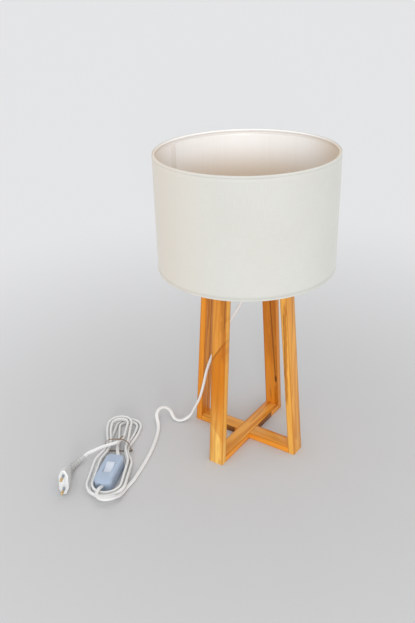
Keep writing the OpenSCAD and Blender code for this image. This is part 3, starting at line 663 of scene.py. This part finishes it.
# %% [markdown]
# ## The shade's cloth
# The cover is a plain woven fabric glued to a stiff pearly lining. Each is one long strip whose
# ends overlap, stretched over a wire at either rim. Cloth that is glued flat doesn't hang or
# sag, so nothing is simulated: a strip is a closed band with columns added at the overlap, so
# that the doubled cloth has a real step, and Solidify gives it its thickness.

# %% A band of cloth round the lamp
SHADE_LOW, SHADE_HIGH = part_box("bottom_trim")[0].z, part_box("top_trim")[1].z
SHADE_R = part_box("bottom_trim")[1].x
COLUMNS, SEAM_AT, SEAM_EDGE = 256, radians(176), 0.002


def bearings(seam_width, radius):
    """Angles round the shade, with close columns at both edges of the overlap."""
    angles = {2 * pi * k / COLUMNS for k in range(COLUMNS)}
    turn = seam_width / radius
    for edge in (SEAM_AT, SEAM_AT + turn):
        angles |= {edge - SEAM_EDGE, edge + SEAM_EDGE}
    return sorted(angles), turn


def band(name, rows, radius_at, seam_width, step):
    """rows are heights; radius_at(angle, height) gives the radius without the overlap."""
    angles, turn = bearings(seam_width, radius_at(0, rows[0]))
    rings = []
    for z in rows:
        ring = []
        for a in angles:
            doubled = step if SEAM_AT <= a <= SEAM_AT + turn else 0
            r = radius_at(a, z) + doubled
            ring.append(Vector((r * cos(a), r * sin(a), z)))
        rings.append(ring)
    n = len(angles)
    vertices = [p for ring in rings for p in ring]
    faces, corners = [], []
    for i in range(len(rows) - 1):
        for k in range(n):
            q = (k + 1) % n
            faces.append((i * n + k, i * n + q, (i + 1) * n + q, (i + 1) * n + k))
            u0, u1 = angles[k] * SHADE_R, (angles[q] + (2 * pi if q == 0 else 0)) * SHADE_R
            corners += [(u0, rows[i]), (u1, rows[i]), (u1, rows[i + 1]), (u0, rows[i + 1])]
    return keep(name, vertices, faces, corners)

# %% Cover and lining
CLOTH, GLUE, FOLD_PROUD = 0.00045, 0.0001, 0.0002
COVER_R = SHADE_R - FOLD_PROUD
LINING_R = COVER_R - CLOTH - GLUE
COVER_SEAM, LINING_SEAM = 0.009, 0.011
ROWS, RIPPLE = 24, 0.0003


def ripple(a, z):
    """The faint unevenness of glued cloth."""
    return RIPPLE * noise.noise(Vector((3 * cos(a), 3 * sin(a), 14 * z)))


def shade_rows(inset):
    low, high = SHADE_LOW + inset, SHADE_HIGH - inset
    return [low + (high - low) * i / ROWS for i in range(ROWS + 1)]


cover = band("shade_cover_cloth", shade_rows(0.0006), lambda a, z: COVER_R + ripple(a, z),
             COVER_SEAM, CLOTH)
modify(cover, "SOLIDIFY", thickness=CLOTH, offset=-1)
lining = band("shade_lining_cloth", shade_rows(0.003), lambda a, z: LINING_R + ripple(a, z),
              LINING_SEAM, -0.0005)
modify(lining, "SOLIDIFY", thickness=CLOTH, offset=-1)
print("cover and lining:", len(cover.data.polygons), len(lining.data.polygons), "faces")

# %% [markdown]
# At each rim the cover's edge is turned over by a few millimetres, and the lining is brought
# round the rim's wire and tucked under that fold. Rolling the edge of the band itself would
# squeeze its faces, so each is a strip of its own with a curved section, carried round the
# lamp. Small puckers keep them from looking turned on a lathe.

# %% The two sections of a rim, as radius and depth below the edge, in millimetres
FOLD = [(124.78, 2.6), (124.78, 1.5), (124.7, 0.75), (124.45, 0.25), (124, 0), (123.55, -0.02)]
ROLL = [(123.65, 6.8), (123.5, 5), (122.9, 3.7), (121.9, 2.75), (121.2, 2.05), (121.08, 1.4),
        (121.4, 0.65), (122, 0.27), (122.7, 0.2), (123.25, 0.4), (123.5, 0.9)]
PUCKER = 0.0001


def strip_section(path):
    """A closed outline that lies half a cloth to each side of a path."""
    path = [Vector(p) * 0.001 for p in smooth(path, 3)]
    faces = ([], [])
    for i, p in enumerate(path):
        run = (path[min(i + 1, len(path) - 1)] - path[max(i - 1, 0)]).normalized()
        for side, face in zip((0.5, -0.5), faces):
            face.append(p + side * CLOTH * Vector((-run.y, run.x)))
    return faces[0] + faces[1][::-1]


def rim_strip(name, path, edge, down):
    """A strip round the lamp; down is -1 at the top rim and 1 at the bottom one."""
    section = strip_section(path)
    rings = []
    for k in range(COLUMNS):
        a = 2 * pi * k / COLUMNS
        pucker = PUCKER * noise.noise(Vector((40 * cos(a), 40 * sin(a), edge * 50)))
        rings.append([Vector(((r + pucker) * cos(a), (r + pucker) * sin(a), edge + down * d))
                      for r, d in section])
    return sweep(name, rings, closed=True)


top_fold = rim_strip("shade_fold_top", FOLD, SHADE_HIGH, -1)
bottom_fold = rim_strip("shade_fold_bottom", FOLD, SHADE_LOW, 1)
top_roll = rim_strip("lining_roll_top", ROLL, SHADE_HIGH, -1)
bottom_roll = rim_strip("lining_roll_bottom", ROLL, SHADE_LOW, 1)

# %% [markdown]
# The cover's threads cross at right angles and are too fine to model, so two sine waves over
# the flat cloth's own measures make the weave, and long thin noise the thicker threads. The
# cover's front-left side is painted a little warmer, as painted light. The lining is smooth
# and pearly; towards the top rim at the back its colour is painted near white, a painted
# highlight where the light reaches it, and its doubled seam strip is painted darker, as
# painted shade.

# %% Woven cover
# A warmer colour, painted on the cover's front-left side as painted light.
WARM_PAINTED_LIGHT = (0.76, 0.695, 0.605)


def woven(name, colour, shadow, pitch, roughness):
    finish = Finish(name, colour, roughness, Sheen_Weight=0.25, Sheen_Roughness=0.5,
                    Specular_IOR_Level=0.25)
    cloth = finish.cloth()
    u, v, _ = finish.split(cloth)
    across = finish.node("ShaderNodeMath", {"operation": "SINE"}, u * (2 * pi / pitch))
    up = finish.node("ShaderNodeMath", {"operation": "SINE"}, v * (2 * pi / pitch))
    weave = across * up * 0.5 + 0.5
    slub_up, slub_across = (finish.noise(cloth, scale, 2) * 0.5
                            for scale in ((60, 1500, 1), (1500, 60, 1)))
    slub = slub_up + slub_across
    cloud = finish.noise(cloth, (14, 14, 1), 3)
    tone = finish.mix(finish.rise(slub, 0.42, 0.62) * 0.35 + weave * 0.15, colour, shadow)
    x, y, _ = finish.split(finish.place())
    # Painted light: the front-left side of the cover is mixed towards a warmer colour.
    painted_warm_side = finish.rise(x * -0.82 - y * 0.57, 0.03, 0.13)
    tone = finish.mix(finish.rise(cloud, 0.35, 0.75) * 0.25, tone, shadow)
    tone = finish.mix(painted_warm_side * 0.9, tone, WARM_PAINTED_LIGHT)
    finish.set(Base_Color=tone, Roughness=roughness + 0.1 * slub)
    return finish.bump(weave + slub * 1.5, 0.00008, 0.6)


cover_fabric = woven("shade_fabric", (0.67, 0.67, 0.625), (0.60, 0.59, 0.54), pitch=0.0007,
                     roughness=0.8)
seat(cover, cover_fabric, "shade_fabric", "shade_cover")
seat(top_fold, cover_fabric, "shade_fabric", "top_trim")
seat(bottom_fold, cover_fabric, "shade_fabric", "bottom_trim")

# %% Pearly lining
# The lining's tan, the near white of its painted highlight, and the darker colour of its painted
# seam shade and its streaks.
TAN, PAINTED_HIGHLIGHT, SEAM_SHADE_AND_STREAK = (0.80, 0.68, 0.545), (0.98, 0.98, 0.98), (0.55, 0.48, 0.36)
STRIP_WIDTH = 0.0112
lining_sheet = Finish("shade_lining", TAN, 0.34, Sheen_Weight=0.2, Specular_IOR_Level=0.6)
film = lining_sheet.cloth()
streaks = lining_sheet.noise(film, (220, 5, 1), 3)
u = lining_sheet.split(film)[0]
x, y, z = lining_sheet.split(lining_sheet.place())
# Painted highlight: near the top rim at the back the film's colour is mixed to near white, where
# the light reaches it.
painted_highlight_share = lining_sheet.rise(z, SHADE_HIGH - 0.085, SHADE_HIGH - 0.02) * (
    lining_sheet.rise(y * 0.8 - x * 0.6, 0.0, 0.09))
pale = lining_sheet.mix(painted_highlight_share, TAN, PAINTED_HIGHLIGHT)
seam_u = SEAM_AT * SHADE_R
# Painted shade: the doubled film of the seam strip is painted darker, less so under the painted
# highlight.
strip = between(lining_sheet, u, seam_u, seam_u + STRIP_WIDTH, 0.0006)
pale = lining_sheet.mix(strip * 0.55 * (1 - 0.7 * painted_highlight_share), pale, SEAM_SHADE_AND_STREAK)
# The film's own streaks take the same darker colour.
lining_sheet.set(Base_Color=lining_sheet.mix(streaks * 0.15, pale, SEAM_SHADE_AND_STREAK),
                 Roughness=0.28 + 0.16 * streaks)
lining_sheet.bump(lining_sheet.noise(film, (900, 900, 1), 2), 0.00004, 0.4)
seat(lining, lining_sheet, "shade_lining", "shade_lining")
for roll in (top_roll, bottom_roll):
    seat(roll, lining_sheet, "shade_lining", body="lamp")
print("shade: %.0f mm across, %.0f mm high" % (2000 * SHADE_R, 1000 * (SHADE_HIGH - SHADE_LOW)))

# %% [markdown]
# ## Moulded and turned parts
# The holder, the bulb, the switch and the plug are hard parts whose form is right already. They
# are merged copies with soft edges, because a new model of each would add nothing. Their
# finishes differ in colour, gloss and small marks: a moulding has a faint orange-peel skin, a
# thread is a bump that repeats along z, brass has cloudy tarnish and zinc fine scratches.

# %% Plain finishes
def moulded(name, colour, roughness, grain=0.00003, mottle=0.05, **constants):
    finish = Finish(name, colour, roughness, **constants)
    place = finish.place()
    peel = finish.noise(place, (1200, 1200, 1200), 2)
    cloud = finish.noise(place, (90, 90, 90), 2)
    darker = tuple(x * (1 - 3 * mottle) for x in colour)
    finish.set(Base_Color=finish.mix(cloud * 0.5, colour, darker),
               Roughness=roughness - 0.06 + 0.12 * cloud)
    return finish.bump(peel, grain, 0.5)


def metal(name, colour, dull, roughness, brush=(900, 900, 60)):
    finish = Finish(name, colour, roughness, Metallic=1.0)
    place = finish.place()
    scratch = finish.noise(place, brush, 3)
    cloud = finish.noise(place, (160, 160, 160), 3)
    finish.set(Base_Color=finish.mix(finish.rise(cloud, 0.4, 0.75) * 0.7, colour, dull),
               Roughness=roughness - 0.08 + 0.2 * scratch)
    return finish.bump(scratch, 0.00002, 0.4)


def threaded(finish, pitch, depth):
    """A thread's waves along z."""
    z = finish.split(finish.place())[2]
    wave = finish.node("ShaderNodeMath", {"operation": "SINE"}, z * (2 * pi / pitch))
    return finish.bump(wave, depth, 1.0)


white_plastic = moulded("white_plastic", (0.86, 0.86, 0.84), 0.32)
white_thread = threaded(moulded("white_plastic_thread", (0.86, 0.86, 0.84), 0.35),
                        pitch=0.003, depth=0.0005)
porcelain = moulded("porcelain", (0.84, 0.82, 0.77), 0.5)
brass = metal("brass", (0.80, 0.58, 0.28), (0.55, 0.36, 0.16), 0.3)
zinc = metal("zinc", (0.72, 0.72, 0.74), (0.50, 0.51, 0.53), 0.34)
zinc_thread = threaded(metal("zinc_thread", (0.70, 0.70, 0.72), (0.5, 0.5, 0.52), 0.36),
                       pitch=0.001, depth=0.0003)
nickel_thread = threaded(metal("nickel_thread", (0.78, 0.76, 0.72), (0.6, 0.58, 0.54), 0.28),
                         pitch=0.0028, depth=0.0004)
opal_glass = moulded("opal_glass", (0.93, 0.93, 0.91), 0.12, grain=0.00001, mottle=0.01,
                     Coat_Weight=0.5)
black_glass = moulded("black_glass", (0.02, 0.02, 0.022), 0.15)
core_cover = moulded("core_cover", (0.30, 0.12, 0.05), 0.45)
white_lacquer = moulded("white_lacquer", (0.84, 0.84, 0.82), 0.3, grain=0.00005)
grey_plastic = moulded("grey_plastic", (0.34, 0.37, 0.42), 0.42)
print("materials so far:", len(bpy.data.materials))

# %% The holder and the hardware under the frames
for node, width, finish, slot in (
        ("holder_cap", 0.0004, white_plastic, "white_plastic"),
        ("holder_shell", 0.0004, white_thread, "white_plastic"),
        ("shade_ring", 0.0003, white_plastic, "white_plastic"),
        ("cord_grip", 0.0005, white_plastic, "white_plastic"),
        ("grip_screw", 0.0002, white_plastic, "white_plastic"),
        ("holder_insert", 0.0002, porcelain, "ceramic"),
        ("threaded_rod", 0.0002, zinc_thread, "zinc"),
        ("lower_washer", 0.0002, zinc, "zinc"),
        ("upper_washer", 0.0002, zinc, "zinc"),
        ("lower_nut", 0.0003, zinc, "zinc"),
        ("fitter_frame", 0.0002, white_lacquer, "white_wire"),
        ("top_wire", 0, white_lacquer, "white_wire"),
        ("screw_sleeve", 0.0001, brass, "brass"),
        ("centre_contact", 0.0001, brass, "brass"),
        ("terminal_screws", 0.0002, brass, "brass"),
        ("core_wires", 0, core_cover, "core")):
    dress(node, width, finish, slot)
print("the fitter's wires have", len(frame["nodes"]["fitter_frame"].data.polygons), "triangles")

# %% The bulb, and the brads in the frames' corners
dress("bulb_glass", 0, opal_glass, "bulb_white")
dress("bulb_cap", 0.0002, nickel_thread, "nickel")
dress("bulb_insulator", 0.0002, black_glass, "black_glass")
dress("bulb_tip", 0.0002, nickel_thread, "nickel")
dress("corner_brads", 0.0001, zinc, "zinc")

# %% [markdown]
# ## The switch and the plug
# The switch is pale grey-blue plastic in two halves with a lighter rocker. The plug is a flat
# white moulding with two brass pins in grey sleeves, and a ribbed grey-white strain relief.
# They are small and smooth, so their shape is the CAD part's and a rounder bevel does the rest.

# %% Switch
switch_shell = moulded("switch_shell", (0.43, 0.52, 0.66), 0.3, Coat_Weight=0.2)
rocker_white = moulded("rocker_white", (0.66, 0.72, 0.82), 0.28)
switch_pieces = [
    dress("switch_base", 0.0006, switch_shell, "switch_shell"),
    dress("switch_cover", 0.0005, switch_shell, "switch_shell"),
    dress("switch_rocker", 0.0005, rocker_white, "rocker"),
    dress("switch_pivot", 0, zinc, "zinc"),
    dress("switch_contacts", 0.0001, brass, "brass"),
    dress("cord_clamps", 0.0003, grey_plastic, "clamp_grey"),
    dress("switch_screws", 0.0002, zinc, "zinc")]

# %% Plug
plug_shell = moulded("plug_shell", (0.72, 0.725, 0.72), 0.3)
relief_rubber = moulded("relief_rubber", (0.60, 0.60, 0.59), 0.5, grain=0.00006, mottle=0.08)
plug_pieces = [
    dress("plug_body", 0.0016, plug_shell, "plug", segments=3),
    dress("plug_pins", 0, brass, "brass"),
    dress("pin_sleeves", 0.0002, grey_plastic, "clamp_grey"),
    dress("plug_relief", 0.0004, relief_rubber, "relief")]
print("switch and plug:", len(switch_pieces) + len(plug_pieces), "pieces")

# %% [markdown]
# ## The tie
# A twist tie holds the hank at its waist: a paper ribbon with a wire in its middle, brought
# round the strands and twisted shut on top. The ribbon is swept round the bundle, and its two
# ends are swept again as a pair that winds round itself.

# %% Ribbon round the bundle
TIE_U, RIBBON_W, RIBBON_T = -0.0015, 0.0026, 0.0006
hank_axis = Vector((cos(HANK_TURN), sin(HANK_TURN), 0))
hank_side = Vector((-sin(HANK_TURN), cos(HANK_TURN), 0))
TIE_ROUND = [(0.02, 0.001), (0.0204, 0.005), (0.02, 0.009), (0.0175, 0.016), (0.010, 0.0222)]


def bundle_place(v, z):
    """A point in the upright plane of the tie."""
    return Vector(on_hank(TIE_U, v, z, 0)[:3])


def ribbon_ring(centre, wide, thin):
    """A flat strip with a wire showing as a soft ridge in its middle."""
    half, thick = RIBBON_W / 2, RIBBON_T / 2
    shape = [(half, thick * 0.5), (half * 0.4, thick * 0.6), (0, thick * 1.5),
             (-half * 0.4, thick * 0.6), (-half, thick * 0.5)]
    shape += [(x, -y) for x, y in shape[::-1]]
    return [centre + x * wide + y * thin for x, y in shape]


hoop = TIE_ROUND + [(-v, z) for v, z in TIE_ROUND[::-1]]
hoop_line = [Vector(p) for p in smooth([(v, z, 0, 0) for v, z in hoop + hoop[:3]], 6)]
hoop_line = hoop_line[6:6 + 6 * len(hoop)]
hoop_rings = []
for i, p in enumerate(hoop_line):
    ahead_p, back_p = hoop_line[(i + 1) % len(hoop_line)], hoop_line[i - 1]
    run = ((ahead_p.x - back_p.x) * hank_side + Vector((0, 0, ahead_p.y - back_p.y))).normalized()
    hoop_rings.append(ribbon_ring(bundle_place(p.x, p.y), hank_axis, run.cross(hank_axis)))
tie_hoop = sweep("tie_hoop", hoop_rings, closed=True)

# %% Twisted ends
END_LENGTH, END_PITCH, END_GAP, END_RINGS = 0.009, 0.004, 0.0006, 40
FLARE, FLARE_FROM, END_THIN = 2.5, 0.8, 0.6
tie_root = bundle_place(0.004, 0.0226)
tie_out = (0.5 * hank_side - 0.8 * hank_axis + Vector((0, 0, 0.12))).normalized()
tie_flat = tie_out.cross(Vector((0, 0, 1))).normalized()
tie_top = tie_flat.cross(tie_out)
tie_ends = []
for strand in range(2):
    rings = []
    for i in range(END_RINGS):
        t = i / (END_RINGS - 1)
        a = 2 * pi * t * END_LENGTH / END_PITCH + pi * strand
        spread = END_GAP * (1 + FLARE * max(0, t - FLARE_FROM))
        off = cos(a) * tie_flat + sin(a) * tie_top
        rings.append([tie_root + tie_out * END_LENGTH * t + spread * off + (p - Vector())
                      for p in ribbon_ring(Vector(), tie_out.cross(off) * END_THIN, off)])
    tie_ends.append(sweep("tie_end_%d" % (strand + 1), rings))

# %% The tie's paper
paper = Finish("tie_paper", (0.30, 0.21, 0.15), 0.75)
crease = paper.noise(paper.cloth(), (900, 250, 1), 3)
paper.set(Base_Color=paper.mix(crease, (0.36, 0.26, 0.19), (0.20, 0.14, 0.10)))
paper.bump(crease, 0.0001, 0.7)
seat(tie_hoop, paper, "tie", "cord_tie")
for end in tie_ends:
    seat(end, paper, "tie", body="lamp")
print("tie pieces:", 1 + len(tie_ends))

# %% [markdown]
# The cord's sheath is soft white plastic, a little dirty from use. Its skin follows the cord's
# own measures, round it and along it, so the wear runs along the cord wherever it turns.

# %% The cord's sheath
sheath = Finish("cord_sheath", (0.86, 0.86, 0.84), 0.38, Specular_IOR_Level=0.45)
skin = sheath.noise(sheath.cloth(), (700, 700, 1), 2)
wear = sheath.noise(sheath.cloth(), (150, 22, 1), 3)
sheath.set(Base_Color=sheath.mix(sheath.rise(wear, 0.4, 0.8) * 0.4, (0.82, 0.82, 0.81),
                                 (0.68, 0.67, 0.65)), Roughness=0.32 + 0.18 * wear)
sheath.bump(skin + wear, 0.00006, 0.4)

# %% Seat both lengths of cord
seat(first_cord, sheath, "cord", "cord_in_rod", "cord_drop")
seat(second_cord, sheath, "cord", "cord_hank", "cord_tail")
plug_pieces + [tie_hoop, *tie_ends]

# %% [markdown]
# ## The room
# The photograph has a pale sweep of floor and wall, a window's light from the front right and
# soft light from above. The floor here is a wide plane painted darker near the lamp and lighter
# further off: painted shade round the lamp and painted light in the distance.
# The world gives an even fill, and two distant lamps with wide discs give the soft shadows.

# %% Floor
# The floor's colour is painted darker near the lamp, as painted shade, and lighter further off.
FLOOR_SIZE, FLOOR_SHADE_NEAR, FLOOR_LIGHT_FAR = 60, (0.60, 0.60, 0.602), (0.80, 0.80, 0.803)
bpy.ops.object.select_all(action="DESELECT")
bpy.ops.mesh.primitive_grid_add(x_subdivisions=8, y_subdivisions=8, size=FLOOR_SIZE)
floor = bpy.context.active_object
floor.name = "floor"
floor_paint = Finish("floor_paint", FLOOR_SHADE_NEAR, 0.9, Specular_IOR_Level=0.05)
x, y, _ = floor_paint.split(floor_paint.place())
painted_shade_falloff = floor_paint.rise((x * x + y * y) ** 0.5, 0.15, 1.1)
floor_paint.set(Base_Color=floor_paint.mix(painted_shade_falloff, FLOOR_SHADE_NEAR, FLOOR_LIGHT_FAR))
floor.data.materials.append(floor_paint.material)
print("floor: %d m across" % FLOOR_SIZE)

# %% World: an even fill, and a plain pale background where the camera looks past the floor
FILL, FILL_LEVEL, BACKDROP = (0.98, 0.99, 1, 1), 0.76, (0.79, 0.79, 0.795, 1)
world = bpy.data.worlds.new("world")
bpy.context.scene.world = world
world.use_nodes = True
sky = world.node_tree
fill = sky.nodes["Background"]
fill.inputs["Color"].default_value = FILL
fill.inputs["Strength"].default_value = FILL_LEVEL
backdrop = sky.nodes.new("ShaderNodeBackground")
backdrop.inputs["Color"].default_value = BACKDROP
path, choice = sky.nodes.new("ShaderNodeLightPath"), sky.nodes.new("ShaderNodeMixShader")
sky.links.new(path.outputs["Is Camera Ray"], choice.inputs[0])
sky.links.new(fill.outputs[0], choice.inputs[1])
sky.links.new(backdrop.outputs[0], choice.inputs[2])
sky.links.new(choice.outputs[0], sky.nodes["World Output"].inputs["Surface"])

# %% Lamps: a low window behind the camera that reaches into the shade, and a high soft one
LAMPS_AIM = Vector((0, 0, 0.38))


def lamp(name, place, level, spread):
    """A distant lamp that shines from a place towards the middle of the shade."""
    light = bpy.data.lights.new(name, "SUN")
    light.energy, light.angle = level, radians(spread)
    holder = bpy.data.objects.new(name, light)
    bpy.context.scene.collection.objects.link(holder)
    holder.location = place
    aim = LAMPS_AIM - Vector(place)
    holder.rotation_euler = aim.to_track_quat("-Z", "Y").to_euler()


lamp("window", (1.35, -1.95, 0.80), 1.2, 16)
lamp("ceiling", (0.5, -0.3, 2), 0.55, 60)
bpy.context.scene.view_settings.view_transform = "Standard"
print("lamps:", len(bpy.data.lights))
